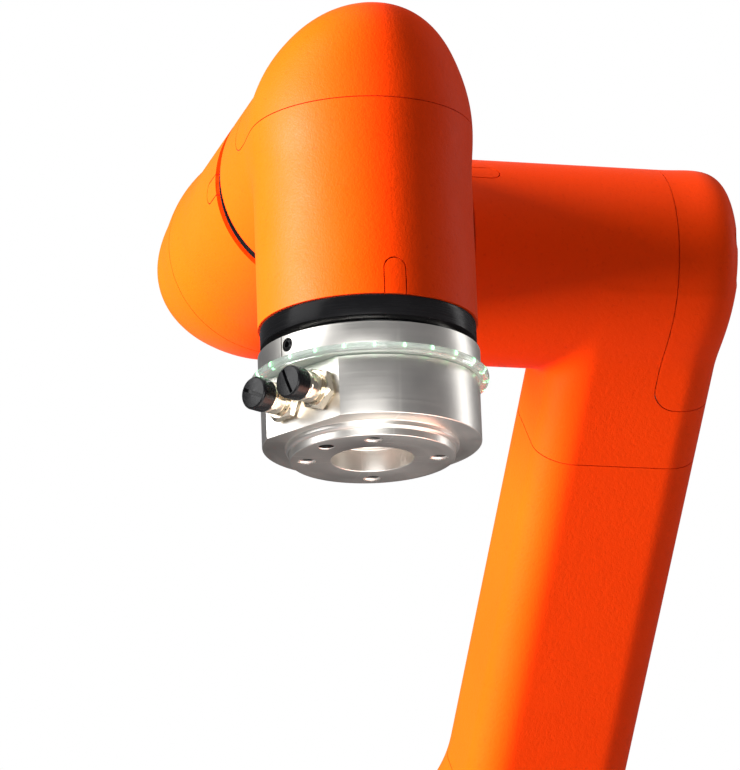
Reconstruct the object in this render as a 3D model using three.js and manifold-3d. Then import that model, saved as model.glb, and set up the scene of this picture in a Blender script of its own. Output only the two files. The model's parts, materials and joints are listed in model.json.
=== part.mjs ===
// Six-axis collaborative robot arm, millimetres, +Z up, robot facing -Y.
// Origin: centre of the base's mounting face. Rest pose: upper arm leaning back,
// forearm reaching forward and up, tool flange pointing straight down.
import * as THREE from 'three';
import { mergeVertices } from 'three/addons/utils/BufferGeometryUtils.js';
import Module from 'manifold-3d';

const wasm = await Module();
wasm.setup();

// ---------- driving dimensions ----------
const GAP = 0.3;              // clearance kept between separate pieces
const SEG = 28;               // facets on the large round shapes
const R_S = 42;               // small joint module radius (wrist joints)
const R_L = 55;               // large joint module radius (base, shoulder, elbow)
const WALL = 4;               // casing wall
const RING = 8.3;             // width of a joint's seal ring
const D1 = 160;               // shoulder axis height
const SHOULDER_OFFSET = 165;  // base axis to upper arm plane
const ELBOW_OFFSET = 150;     // upper arm plane to forearm plane
const UPPER_ARM = 408;        // shoulder axis to elbow axis
const FOREARM = 376;          // elbow axis to wrist 1 axis
const L4 = 154.5;             // forearm plane to wrist 2 plane
const L5 = 142;               // wrist 1 axis to tool axis
const LEAN = 10 * Math.PI / 180;          // upper arm lean at rest
const FORE = Math.atan2(0.744, 0.668);    // forearm angle from vertical at rest
const OUT_T = 80.8;           // forearm plane to the forearm casing's output end
const OUT_W1 = L5 - 65.3;     // wrist 1 axis to wrist 1 output end
const OUT_W2 = 78.4;          // wrist 2 port axis to wrist 2 output end
const PORT_W2 = 57;           // tool axis to wrist 2 port end
const PORT_W1 = L4 - OUT_T - RING;        // wrist 1 output axis to its port end
const OUT_S = 100;            // base axis to shoulder output end
const OUT_U = 85;             // upper arm plane to its elbow output end
const PORT_L = 56.7;          // large arm casing: arm plane to its joint end
const CAP_WRIST = 44;         // wrist caps: height, outline exponent and lean of the crown away from the port
const WRIST_N = 2.2, WRIST_LEAN = 0.45;
const CAP_SMALL = 34.2;       // forearm cap, height from the module axis plane
const CAP_LARGE = 47;         // large caps
const SEAM = 5;               // arm cap seam, beyond the arm plane
// arm tubes are D-shaped: width, front and back reach from the axis, front and back corner radii
const TUBE = [69.6, 38.1, 31.2, 15.4, 30.8], TUBE_END = [77.6, 43.3, 36.4, 19, 35];
const TUBE_SHIFT = 2.6;       // forearm tube, off the forearm plane towards the wrist side
const UTUBE = [95, 48, 43, 22, 44];
const CAST_T = 71;            // forearm casting length from wrist 1 axis
const CAST_L = 121;           // large casting length from its joint axis
const FLANGE_R = 86, FLANGE_T = 10, FLANGE_PCD = 150;  // base mounting flange
const FACE_H = 131, BODY_H = 125.4, BODY_R = 41.8;     // tool flange heights below the wrist 2 axis
const BOSS_R = 31.5, PILOT_R = 15.75, PILOT_DEPTH = 9; // 63 mm boss, 31.5 mm pilot
const BOLT_PCD = 50, BOLT_R = 2.5, DOWEL_R = 3;
const BOLT_ANGLE = 76, DOWEL_ANGLE = 211, FACET_ANGLE = 211, FACET_D = 37;
const LIGHT_R = 45.5;

// ---------- joint centres at rest ----------
const V = (x, y, z) => new THREE.Vector3(x, y, z);
const X_U = -SHOULDER_OFFSET, X_F = X_U + ELBOW_OFFSET, X_W = X_F - L4;
const S = V(X_U, 0, D1);
const E = V(X_U, UPPER_ARM * Math.sin(LEAN), D1 + UPPER_ARM * Math.cos(LEAN));
const EF = V(X_F, E.y, E.z);
const T = V(X_F, E.y - FOREARM * Math.sin(FORE), E.z + FOREARM * Math.cos(FORE));
const W = V(X_W, T.y, T.z);
const O = V(X_W, W.y - L5, W.z);

// ---------- solids ----------
function solid(geo) {
  const g = geo.index ? geo.clone() : geo.clone();
  g.deleteAttribute('normal'); g.deleteAttribute('uv');
  const m = mergeVertices(g, 1e-4);
  const p = m.attributes.position.array, ix = m.index.array, tri = [];
  for (let i = 0; i < ix.length; i += 3) {
    const a = ix[i], b = ix[i + 1], c = ix[i + 2];
    if (a !== b && b !== c && a !== c) tri.push(a, b, c);
  }
  let vol = 0;
  for (let i = 0; i < tri.length; i += 3) {
    const a = tri[i] * 3, b = tri[i + 1] * 3, c = tri[i + 2] * 3;
    vol += p[a] * (p[b + 1] * p[c + 2] - p[b + 2] * p[c + 1])
         - p[a + 1] * (p[b] * p[c + 2] - p[b + 2] * p[c])
         + p[a + 2] * (p[b] * p[c + 1] - p[b + 1] * p[c]);
  }
  if (vol < 0) for (let i = 0; i < tri.length; i += 3) { const t = tri[i]; tri[i] = tri[i + 1]; tri[i + 1] = t; }
  return new wasm.Manifold(new wasm.Mesh({ numProp: 3, vertProperties: new Float32Array(p), triVerts: new Uint32Array(tri) }));
}
// body of revolution about +Z from [radius, height] pairs; the profile closes on itself
function rev(profile, seg = SEG, lean = null) {
  const pts = profile.map(([r, z]) => new THREE.Vector2(r, z));
  const onAxis = profile[0][0] === 0 && profile[profile.length - 1][0] === 0;
  if (!onAxis) pts.push(pts[0].clone());
  const g = new THREE.LatheGeometry(pts, seg);
  g.rotateX(Math.PI / 2);
  if (lean) {
    const p = g.attributes.position;
    for (let i = 0; i < p.count; i++) p.setX(i, p.getX(i) - lean(p.getZ(i)));
  }
  return solid(g);
}
const cyl = (r, a, b, seg = SEG) => rev([[0, a], [r, a], [r, b], [0, b]], seg);
const tube = (ri, ro, a, b, seg = SEG) => rev([[ri, a], [ro, a], [ro, b], [ri, b]], seg);
const box = (w, d, h, x = 0, y = 0, z = 0) => {
  const g = new THREE.BoxGeometry(w, d, h); g.translate(x, y, z); return solid(g);
};
// D-shaped prism along +Z from a to b; the flat front lies towards side * Y
function dee([w, front, back, rf, rb], side, a, b, inset = 0, cx = 0, n = 5) {
  const x = w / 2 - inset, f = front - inset, k = back - inset, p = rf - inset, q = Math.min(rb, w / 2) - inset;
  const s = new THREE.Shape();
  s.moveTo(-x + q, -k); s.lineTo(x - q, -k); s.absarc(x - q, -k + q, q, -Math.PI / 2, 0);
  s.lineTo(x, f - p); s.absarc(x - p, f - p, p, 0, Math.PI / 2);
  s.lineTo(-x + p, f); s.absarc(-x + p, f - p, p, Math.PI / 2, Math.PI);
  s.lineTo(-x, -k + q); s.absarc(-x + q, -k + q, q, Math.PI, Math.PI * 1.5);
  const g = new THREE.ExtrudeGeometry(s, { depth: b - a, steps: 1, bevelEnabled: false, curveSegments: n });
  g.translate(0, 0, a);
  return at(solid(g), new THREE.Matrix4().makeTranslation(cx, 0, 0).multiply(new THREE.Matrix4().makeRotationZ(side > 0 ? 0 : Math.PI)));
}
const at = (m, M) => m.transform(M.elements.slice());
// frame with local z along zd and local x near xd, at point c
function place(c, zd, xd) {
  const z = zd.clone().normalize();
  const y = new THREE.Vector3().crossVectors(z, xd).normalize();
  const x = new THREE.Vector3().crossVectors(y, z);
  return new THREE.Matrix4().makeBasis(x, y, z).setPosition(c);
}
// superellipse cap outline from the rim (r, z0) to the pole (0, top)
function dome(r, z0, top, n, rows) {
  const out = [];
  for (let i = 0; i <= rows; i++) {
    const t = (i / rows) * Math.PI / 2;
    out.push([i === rows ? 0 : r * Math.pow(Math.cos(t), 2 / n), z0 + (top - z0) * Math.pow(Math.sin(t), 2 / n)]);
  }
  return out;
}
function toGeometry(m) {
  const mesh = m.simplify(0.02).getMesh(), np = mesh.numProp, v = [];
  for (let i = 0; i < mesh.vertProperties.length; i += np) v.push(mesh.vertProperties[i], mesh.vertProperties[i + 1], mesh.vertProperties[i + 2]);
  const g = new THREE.BufferGeometry();
  g.setAttribute('position', new THREE.BufferAttribute(new Float32Array(v), 3));
  g.setIndex(new THREE.BufferAttribute(new Uint32Array(mesh.triVerts), 1));
  g.computeVertexNormals();
  return g;
}

// ---------- materials ----------
const mat = (color, roughness, metalness, extra = {}) => new THREE.MeshStandardMaterial({ color, roughness, metalness, ...extra });
const M = {
  paint: mat(0xf25a0a, 0.5, 0.0), rubber: mat(0x161617, 0.45, 0.0), alu: mat(0xbfc1c3, 0.32, 0.9),
  nickel: mat(0xc9c2ad, 0.22, 1.0), black: mat(0x111112, 0.35, 0.0), steel: mat(0x6d7074, 0.4, 1.0),
  clear: mat(0xdff5e4, 0.1, 0.0, { transparent: true, opacity: 0.45 }), board: mat(0x1f5c38, 0.6, 0.1),
  copper: mat(0xb4693a, 0.4, 0.8), gasket: mat(0x2a2a2c, 0.6, 0.0),
};
const arm = new THREE.Group();
function add(name, m, material) {
  const mesh = new THREE.Mesh(toGeometry(m), material);
  mesh.name = name; arm.add(mesh);
}

// ---------- one joint's inner parts ----------
// Local +Z is the output direction, 'out' the casing's output end, r the casing radius.
function jointCore(n, M4, r, out, back) {
  const ri = r - WALL - 2;
  const k = r / R_S;
  add(`j${n}_seal_ring`, at(tube(r - 7, r - 0.7, out + GAP, out + RING - GAP), M4), M.rubber);
  add(`j${n}_gear_unit`, at(rev([[14, out - 30], [ri, out - 30], [ri, out - 2], [r - 8, out - 1], [r - 8, out + RING - GAP], [14, out + RING - GAP]], 16), M4), M.steel);
  add(`j${n}_motor_stator`, at(tube(19 * k, ri - 0.5, out - 58, out - 31, 12), M4), M.copper);
  add(`j${n}_rotor_shaft`, at(rev([[8, back + 6], [11, back + 6], [11, out - 60], [18 * k, out - 60], [18 * k, out - 32], [12.5, out - 32], [12.5, out + RING - 1], [8, out + RING - 1]], 10), M4), M.steel);
  if (n !== 2 && n !== 3) add(`j${n}_drive_board`, at(tube(13, ri - 1, back, back + 3, 12), M4), M.board);
}
// U-shaped plug in the casing wall at the output end; local +X is the side it sits on
function slotPrism(grow, depth0, depth1, out) {
  const hw = 4 + grow, s = new THREE.Shape();
  const lip = grow > 0 ? -1 : 0;
  s.moveTo(-hw, lip); s.lineTo(-hw, 10); s.absarc(0, 10, hw, Math.PI, 0, true); s.lineTo(hw, lip); s.closePath();
  const g = new THREE.ExtrudeGeometry(s, { depth: depth1 - depth0, bevelEnabled: false, curveSegments: 6 });
  g.translate(0, 0, depth0);
  // shape plane: x stays sideways, y runs back from the output end, extrusion runs outward
  const B = new THREE.Matrix4().makeBasis(V(0, 1, 0), V(0, 0, -1), V(1, 0, 0));
  g.applyMatrix4(B); g.translate(0, 0, out);
  return solid(g);
}
function withSlot(m, r, out, side) {
  const F4 = new THREE.Matrix4().makeRotationZ(side);
  const pocket = at(slotPrism(GAP, r - 8, r + 4, out).subtract(cyl(r - 2.1, out - 40, out + 4, 48)), F4);
  const plug = at(slotPrism(0, r - 8, r + 4, out).intersect(tube(r - 1.7, r - 0.05, out - 40, out, 48)), F4);
  return [m.subtract(pocket), plug];
}

// ================= base =================
const baseOuter = rev([[0, 0], [FLANGE_R, 0], [FLANGE_R, FLANGE_T - 1], [FLANGE_R - 1, FLANGE_T], [64, FLANGE_T + 1], [62, 16], [R_L + 3, 60], [R_L, 70], [R_L, 78], [0, 78]], 40);
let base = baseOuter.subtract(cyl(R_L - WALL - 0.5, -1, 80));
for (const d of [45, 135, 225, 315]) {
  const a = d * Math.PI / 180, c = FLANGE_PCD / 2;
  base = base.subtract(cyl(4.5, -1, FLANGE_T + 1, 12).translate([c * Math.cos(a), c * Math.sin(a), 0]));
}
base = base.add(box(62, 22, 44, 0, 57, 33).subtract(cyl(R_L - WALL - 0.5, -1, 80)))
  .subtract(box(52, 6, 34, 0, 68, 34)).subtract(box(47, 30, 24, 0, 55, 34));
add('base_housing', base, M.paint);
add('base_bottom_cover', cyl(R_L - WALL - 1, 0, 3), M.alu);
add('base_connector_panel', box(51.4, 2.4, 33.4, 0, 66.6, 34)
  .subtract(at(cyl(9.3, -3, 3, 20), place(V(-13, 66.6, 34), V(0, 1, 0), V(1, 0, 0))))
  .subtract(at(cyl(6.3, -3, 3, 16), place(V(13, 66.6, 34), V(0, 1, 0), V(1, 0, 0)))), M.black);
add('base_power_socket', at(rev([[0, -10], [9, -10], [9, 1.5], [10.5, 1.5], [10.5, 5], [6.5, 5], [6.5, -7], [0, -7]], 20), place(V(-13, 66.6, 34), V(0, 1, 0), V(1, 0, 0))), M.nickel);
add('base_signal_socket', at(rev([[0, -10], [6, -10], [6, 1.5], [7.5, 1.5], [7.5, 5], [4.2, 5], [4.2, -7], [0, -7]], 16), place(V(13, 66.6, 34), V(0, 1, 0), V(1, 0, 0))), M.nickel);
jointCore(1, place(V(0, 0, 0), V(0, 0, 1), V(1, 0, 0)), R_L, 78, 4);

// ---------- a joint casing: joint cylinder, side port or arm stub, and the cap over its back ----------
// Local +Z runs to the joint end at 'out', the cap closes the -Z side, the port or stub runs along +X.
// The cap also covers the back half of the port up to 'tongue'.
const ALONG_X = new THREE.Matrix4().makeBasis(V(0, 0, 1), V(0, -1, 0), V(1, 0, 0));
// 'lean' pushes the cap's crown away from the port.
function unit({ r, out, seam, top, n, lean = 0, tongue, side, sideInner, sideHole = null, passive = false }) {
  const shift = h => h <= seam ? 0 : lean * Math.pow(h - seam, 2.2) / Math.pow(top - seam, 1.2);
  const flip = new THREE.Matrix4().makeRotationX(Math.PI);
  const outline = dome(r, seam, top, n, 5), inside = dome(r - WALL, seam, top - WALL, n, 4);
  const full = cyl(r, -seam - 1, out).add(at(rev([[0, seam], ...outline], SEG, shift), flip)).add(at(side, ALONG_X));
  let inner = cyl(r - WALL, -seam - 1, passive ? out - 6 : out + 1).add(at(rev([[0, seam], ...inside], SEG, shift), flip)).add(at(sideInner, ALONG_X));
  if (sideHole) inner = inner.add(at(sideHole, ALONG_X));
  if (passive) inner = inner.add(cyl(11, 0, out + 1, 14));
  const shell = full.subtract(inner);
  const zone = g => box(200 + tongue + g, 400, 200, (tongue + g - 200) / 2, 0, -seam + g - 100);
  return [shell.subtract(zone(GAP)), shell.intersect(zone(0))];
}
const portSide = (r, len) => ({ side: cyl(r - 0.15, 0, len), sideInner: cyl(r - WALL - 0.4, 0, len - 6), sideHole: cyl(11, 0, len + 1, 14) });
const stubSide = (sec, side, len, cx = 0) => ({ side: dee(sec, side, 0, len, 0, cx), sideInner: dee(sec, side, 0, len + 1, WALL, cx) });
const linkTube = (sec, side, a, b, cx = 0) => dee(sec, side, a, b, 0, cx).subtract(dee(sec, side, a - 1, b + 1, WALL, cx));

// ================= shoulder =================
{
  const M4 = place(V(0, 0, D1), V(-1, 0, 0), V(0, 0, -1));
  const [house, cap] = unit({ r: R_L, out: OUT_S, seam: 0, top: CAP_LARGE, n: 3.6, tongue: 44, ...portSide(R_L, D1 - 78 - RING) });
  add('shoulder_housing', at(house, M4), M.paint);
  add('shoulder_cap', at(cap, M4), M.paint);
  jointCore(2, M4, R_L, OUT_S, -18);
}

// ================= upper arm =================
const U = V(0, Math.sin(LEAN), Math.cos(LEAN));
const Fd = V(0, Math.sin(FORE), -Math.cos(FORE));   // from wrist 1 axis towards the elbow
{
  const low = place(S, V(1, 0, 0), U), up = place(E, V(1, 0, 0), U.clone().negate());
  const [lh, lc] = unit({ r: R_L, out: PORT_L, seam: SEAM, top: CAP_LARGE, n: 3.6, tongue: 57, passive: true, ...stubSide(UTUBE, -1, CAST_L) });
  const [uh, uc] = unit({ r: R_L, out: OUT_U, seam: SEAM, top: CAP_LARGE, n: 3.6, tongue: 57, ...stubSide(UTUBE, 1, CAST_L) });
  add('upper_arm_lower_housing', at(lh, low), M.paint);
  add('upper_arm_lower_cap', at(lc, low), M.paint);
  add('upper_arm_tube', at(linkTube(UTUBE, -1, CAST_L + GAP, UPPER_ARM - CAST_L - GAP), place(S, U, V(1, 0, 0))), M.paint);
  add('upper_arm_upper_housing', at(uh, up), M.paint);
  add('upper_arm_upper_cap', at(uc, up), M.paint);
  jointCore(3, up, R_L, OUT_U, -22);
}

// ================= forearm =================
{
  const low = place(EF, V(-1, 0, 0), Fd.clone().negate()), up = place(T, V(-1, 0, 0), Fd);
  const [lh, lc] = unit({ r: R_L, out: PORT_L, seam: SEAM, top: CAP_LARGE, n: 3.6, tongue: 57, passive: true, ...stubSide(TUBE_END, 1, CAST_L, TUBE_SHIFT) });
  const [uh, uc] = unit({ r: R_S, out: OUT_T, seam: SEAM, top: CAP_SMALL, n: 4.5, lean: 0.15, tongue: 44, ...stubSide(TUBE, -1, CAST_T, TUBE_SHIFT) });
  const [house, plug] = withSlot(uh, R_S, OUT_T, Math.PI);
  add('forearm_lower_housing', at(lh, low), M.paint);
  add('forearm_lower_cap', at(lc, low), M.paint);
  add('forearm_tube', at(linkTube(TUBE, 1, CAST_T + GAP, FOREARM - CAST_L - GAP, -TUBE_SHIFT), place(T, Fd, V(1, 0, 0))), M.paint);
  add('forearm_upper_housing', at(house, up), M.paint);
  add('forearm_slot_plug', at(plug, up), M.paint);
  add('forearm_upper_cap', at(uc, up), M.paint);
  jointCore(4, up, R_S, OUT_T, -16);
}

// ================= wrist 1 =================
{
  const M4 = place(W, V(0, -1, 0), V(1, 0, 0));
  const [uh, uc] = unit({ r: R_S, out: OUT_W1, seam: 0, top: CAP_WRIST, n: WRIST_N, lean: WRIST_LEAN, tongue: 33, ...portSide(R_S, PORT_W1) });
  const [house, plug] = withSlot(uh, R_S, OUT_W1, Math.PI);
  add('wrist_1_housing', at(house, M4), M.paint);
  add('wrist_1_slot_plug', at(plug, M4), M.paint);
  add('wrist_1_cap', at(uc, M4), M.paint);
  jointCore(5, M4, R_S, OUT_W1, -11);
}

// ================= wrist 2 =================
{
  const M4 = place(O, V(0, 0, -1), V(0, 1, 0));
  const [uh, uc] = unit({ r: R_S, out: OUT_W2, seam: 0, top: CAP_WRIST, n: WRIST_N, lean: WRIST_LEAN, tongue: 33, ...portSide(R_S, PORT_W2) });
  const [house, plug] = withSlot(uh, R_S, OUT_W2, Math.PI);
  add('wrist_2_housing', at(house, M4), M.paint);
  add('wrist_2_slot_plug', at(plug, M4), M.paint);
  add('wrist_2_cap', at(uc, M4), M.paint);
  jointCore(6, M4, R_S, OUT_W2, -11);
}

// ================= tool flange =================
{
  // local +Z down along the tool axis, local +X along the row's +X: y is mirrored, so angles are negated
  const M4 = place(O, V(0, 0, -1), V(1, 0, 0));
  const ang = d => -d * Math.PI / 180;
  const polar = (r, d) => [r * Math.cos(ang(d)), r * Math.sin(ang(d))];
  const H0 = OUT_W2 + RING, ringTop = H0 + 2.8;
  add('tool_upper_ring', at(rev([[0, H0 + GAP], [34, H0 + GAP], [34, ringTop], [R_S + 0.4, ringTop], [R_S + 0.4, 98], [0, 98]], 40), M4), M.alu);
  add('tool_led_board', at(tube(34, 42.5, 98.3, 99.8, 32), M4), M.board);
  add('tool_light_ring', at(rev([[30, 100.4], [43, 100.4], [43, 98.3], [LIGHT_R, 98.3], [LIGHT_R, 102], [30, 102]], 40), M4), M.clear);
  const n = V(Math.cos(ang(FACET_ANGLE)), Math.sin(ang(FACET_ANGLE)), 0);
  const facet = at(box(60, 100, 60, FACET_D + 30, 0, 0), new THREE.Matrix4().makeRotationZ(ang(FACET_ANGLE))).translate([0, 0, 112]);
  let body = rev([[0, 102.3], [BODY_R, 102.3], [BODY_R, BODY_H - 0.6], [BODY_R - 0.6, BODY_H], [BOSS_R + 1.6, BODY_H], [BOSS_R + 1.6, BODY_H + 1.6],
    [BOSS_R, BODY_H + 2.2], [BOSS_R, FACE_H - 0.8], [BOSS_R - 0.8, FACE_H], [PILOT_R + 0.7, FACE_H], [PILOT_R, FACE_H - 0.7], [PILOT_R, FACE_H - PILOT_DEPTH], [0, FACE_H - PILOT_DEPTH]], 40)
    .subtract(facet);
  for (let i = 0; i < 4; i++) { const [x, y] = polar(BOLT_PCD / 2, BOLT_ANGLE + 90 * i); body = body.subtract(cyl(BOLT_R, FACE_H - 12, FACE_H + 1, 10).translate([x, y, 0])); }
  { const [x, y] = polar(BOLT_PCD / 2, DOWEL_ANGLE); body = body.subtract(cyl(DOWEL_R - 0.5, FACE_H - 8, FACE_H + 1, 10).translate([x, y, 0])); }
  add('tool_flange', at(body, M4), M.alu);
  // two capped connectors on the facet
  const t = V(-n.y, n.x, 0);
  [['a', -9.85], ['b', 8.45]].forEach(([id, s]) => {
    const c = V(0, 0, 113.4).addScaledVector(n, FACET_D).addScaledVector(t, s);
    const C4 = M4.clone().multiply(place(c, n, V(0, 0, 1)));
    add(`io_connector_${id}`, at(rev([[0, GAP], [7.6, GAP], [7.6, 3], [5.9, 3.4], [5.9, 11.1], [4.2, 11.1], [4.2, 5.1], [0, 5.1]], 16), C4), M.nickel);
    add(`io_dust_cap_${id}`, at(rev([[0, 6.1], [3.8, 6.1], [3.8, 11.4], [6.4, 11.4], [6.4, 17.5], [5.8, 18.1], [0, 18.1]], 16)
      .subtract(box(1.5, 16, 2.4, 0, 0, 18.1)), C4), M.black);
  });
}

export default arm;
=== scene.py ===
import json
import math
import bpy
import bmesh
import numpy as np
from mathutils import Matrix, Vector

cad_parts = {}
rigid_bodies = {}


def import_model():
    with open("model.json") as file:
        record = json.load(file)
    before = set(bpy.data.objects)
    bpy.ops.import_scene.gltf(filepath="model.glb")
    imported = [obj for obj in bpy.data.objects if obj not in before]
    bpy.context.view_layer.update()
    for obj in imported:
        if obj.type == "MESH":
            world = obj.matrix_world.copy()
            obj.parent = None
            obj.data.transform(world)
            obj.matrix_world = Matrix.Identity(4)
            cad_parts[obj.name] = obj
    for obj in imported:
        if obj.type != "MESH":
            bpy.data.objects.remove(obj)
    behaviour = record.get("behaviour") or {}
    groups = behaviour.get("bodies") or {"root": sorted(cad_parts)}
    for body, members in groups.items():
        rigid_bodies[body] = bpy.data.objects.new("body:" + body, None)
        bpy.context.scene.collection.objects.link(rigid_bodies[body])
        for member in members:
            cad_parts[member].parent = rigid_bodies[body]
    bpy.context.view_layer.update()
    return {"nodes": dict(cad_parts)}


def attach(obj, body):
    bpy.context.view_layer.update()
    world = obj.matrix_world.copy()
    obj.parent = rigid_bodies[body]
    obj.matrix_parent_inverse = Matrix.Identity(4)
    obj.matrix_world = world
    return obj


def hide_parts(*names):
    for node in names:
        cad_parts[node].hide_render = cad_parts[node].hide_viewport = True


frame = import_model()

MM = 0.001

# ------------------------------------------------------------------ layout, millimetres
R_S, R_L = 42.0, 55.0
RING = 8.3
D1, X_U, X_F = 160.0, -165.0, -15.0
LEAN = math.radians(10)
FORE = math.atan2(0.744, 0.668)
L4, L5 = 154.5, 142.0
UPPER, FOREARM = 408.0, 376.0
OUT_T, OUT_W1, OUT_W2, OUT_S, OUT_U, PORT_L = 80.8, L5 - 65.3, 78.4, 100.0, 85.0, 56.7
PORT_W2, PORT_W1 = 57.0, L4 - OUT_T - RING
S = Vector((X_U, 0, D1))
E = Vector((X_U, UPPER * math.sin(LEAN), D1 + UPPER * math.cos(LEAN)))
EF = Vector((X_F, E.y, E.z))
T = Vector((X_F, E.y - FOREARM * math.sin(FORE), E.z + FOREARM * math.cos(FORE)))
W = Vector((X_F - L4, T.y, T.z))
O = Vector((W.x, W.y - L5, W.z))
UPV = Vector((0, math.sin(LEAN), math.cos(LEAN)))
FD = Vector((0, math.sin(FORE), -math.cos(FORE)))


def place(c, zd, xd):
    z = Vector(zd).normalized()
    y = z.cross(Vector(xd)).normalized()
    x = y.cross(z)
    m = Matrix.Identity(4)
    for i, v in enumerate((x, y, z, Vector(c))):
        for k in range(3):
            m[k][i] = v[k]
    return m


# ------------------------------------------------------------------ materials
def new_mat(name):
    m = bpy.data.materials.new(name)
    m.use_nodes = True
    nt = m.node_tree
    nt.nodes.clear()
    out = nt.nodes.new("ShaderNodeOutputMaterial")
    b = nt.nodes.new("ShaderNodeBsdfPrincipled")
    nt.links.new(b.outputs[0], out.inputs[0])
    tc = nt.nodes.new("ShaderNodeTexCoord")
    return m, nt, b, tc


def noise(nt, vec, scale, detail=3.0, rough=0.5, dims="3D"):
    n = nt.nodes.new("ShaderNodeTexNoise")
    n.inputs["Scale"].default_value = scale
    n.inputs["Detail"].default_value = detail
    n.inputs["Roughness"].default_value = rough
    nt.links.new(vec, n.inputs["Vector"])
    return n.outputs["Fac"]


def ramp(nt, fac, stops):
    r = nt.nodes.new("ShaderNodeValToRGB")
    els = r.color_ramp.elements
    while len(els) > 1:
        els.remove(els[-1])
    els[0].position, els[0].color = stops[0][0], stops[0][1]
    for p, c in stops[1:]:
        e = els.new(p)
        e.color = c
    nt.links.new(fac, r.inputs["Fac"])
    return r.outputs["Color"]


def mapr(nt, fac, a, b, lo=0.0, hi=1.0):
    r = nt.nodes.new("ShaderNodeMapRange")
    r.inputs["From Min"].default_value = lo
    r.inputs["From Max"].default_value = hi
    r.inputs["To Min"].default_value = a
    r.inputs["To Max"].default_value = b
    nt.links.new(fac, r.inputs["Value"])
    return r.outputs["Result"]


def mix_rgb(nt, fac, a, b, mode="MIX"):
    m = nt.nodes.new("ShaderNodeMix")
    m.data_type = "RGBA"
    m.blend_type = mode
    if isinstance(fac, float):
        m.inputs[0].default_value = fac
    else:
        nt.links.new(fac, m.inputs[0])
    for k, v in ((6, a), (7, b)):
        if isinstance(v, tuple):
            m.inputs[k].default_value = v
        else:
            nt.links.new(v, m.inputs[k])
    return m.outputs[2]


def math_node(nt, op, a, b=None):
    m = nt.nodes.new("ShaderNodeMath")
    m.operation = op
    for k, v in ((0, a), (1, b)):
        if v is None:
            continue
        if isinstance(v, (int, float)):
            m.inputs[k].default_value = v
        else:
            nt.links.new(v, m.inputs[k])
    return m.outputs[0]


def bump(nt, bsdf, height, strength, distance, prev=None):
    b = nt.nodes.new("ShaderNodeBump")
    b.inputs["Strength"].default_value = strength
    b.inputs["Distance"].default_value = distance
    nt.links.new(height, b.inputs["Height"])
    if prev is not None:
        nt.links.new(prev, b.inputs["Normal"])
    nt.links.new(b.outputs["Normal"], bsdf.inputs["Normal"])
    return b.outputs["Normal"]


def edge_mask(nt, lo=0.53, hi=0.62):
    g = nt.nodes.new("ShaderNodeNewGeometry")
    return mapr(nt, g.outputs["Pointiness"], 0.0, 1.0, lo, hi)


def paint_mat(name, seed=0.0):
    m, nt, b, tc = new_mat(name)
    mp = nt.nodes.new("ShaderNodeMapping")
    mp.inputs["Location"].default_value = (seed, seed * 0.7, seed * 1.3)
    nt.links.new(tc.outputs["Object"], mp.inputs["Vector"])
    v = mp.outputs["Vector"]
    grain = noise(nt, v, 1500, 2.5, 0.6)
    speck = noise(nt, v, 620, 2.0, 0.5)
    cloud = noise(nt, v, 9, 4.0, 0.55)
    col = ramp(nt, cloud, [(0.25, (0.88, 0.045, 0.0003, 1)), (0.75, (0.93, 0.053, 0.0005, 1))])
    col = mix_rgb(nt, mapr(nt, grain, 0.0, 0.38, 0.60, 0.78), col, (0.96, 0.075, 0.0015, 1))
    col = mix_rgb(nt, mapr(nt, speck, 0.28, 0.0, 0.22, 0.40), col, (0.64, 0.024, 0.0002, 1))
    # edge wear: the coat thins and looks a little lighter on sharp edges
    wear = math_node(nt, "MULTIPLY", edge_mask(nt, 0.54, 0.66), mapr(nt, noise(nt, v, 140, 4, 0.7), 0.0, 0.5, 0.45, 0.75))
    col = mix_rgb(nt, wear, col, (0.98, 0.15, 0.015, 1))
    nt.links.new(col, b.inputs["Base Color"])
    smudge = noise(nt, v, 24, 5.0, 0.65)
    r = math_node(nt, "ADD", mapr(nt, smudge, 0.40, 0.56, 0.3, 0.7), mapr(nt, grain, -0.05, 0.07, 0.3, 0.7))
    nt.links.new(r, b.inputs["Roughness"])
    b.inputs["Specular IOR Level"].default_value = 0.06
    b.inputs["Sheen Weight"].default_value = 0.035
    b.inputs["Sheen Roughness"].default_value = 0.35
    b.inputs["Sheen Tint"].default_value = (1.0, 0.62, 0.50, 1)
    n1 = bump(nt, b, grain, 0.42, 0.00022)
    n2 = bump(nt, b, speck, 0.22, 0.00035, n1)
    bump(nt, b, noise(nt, v, 60, 2, 0.5), 0.03, 0.002, n2)
    return m


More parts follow.
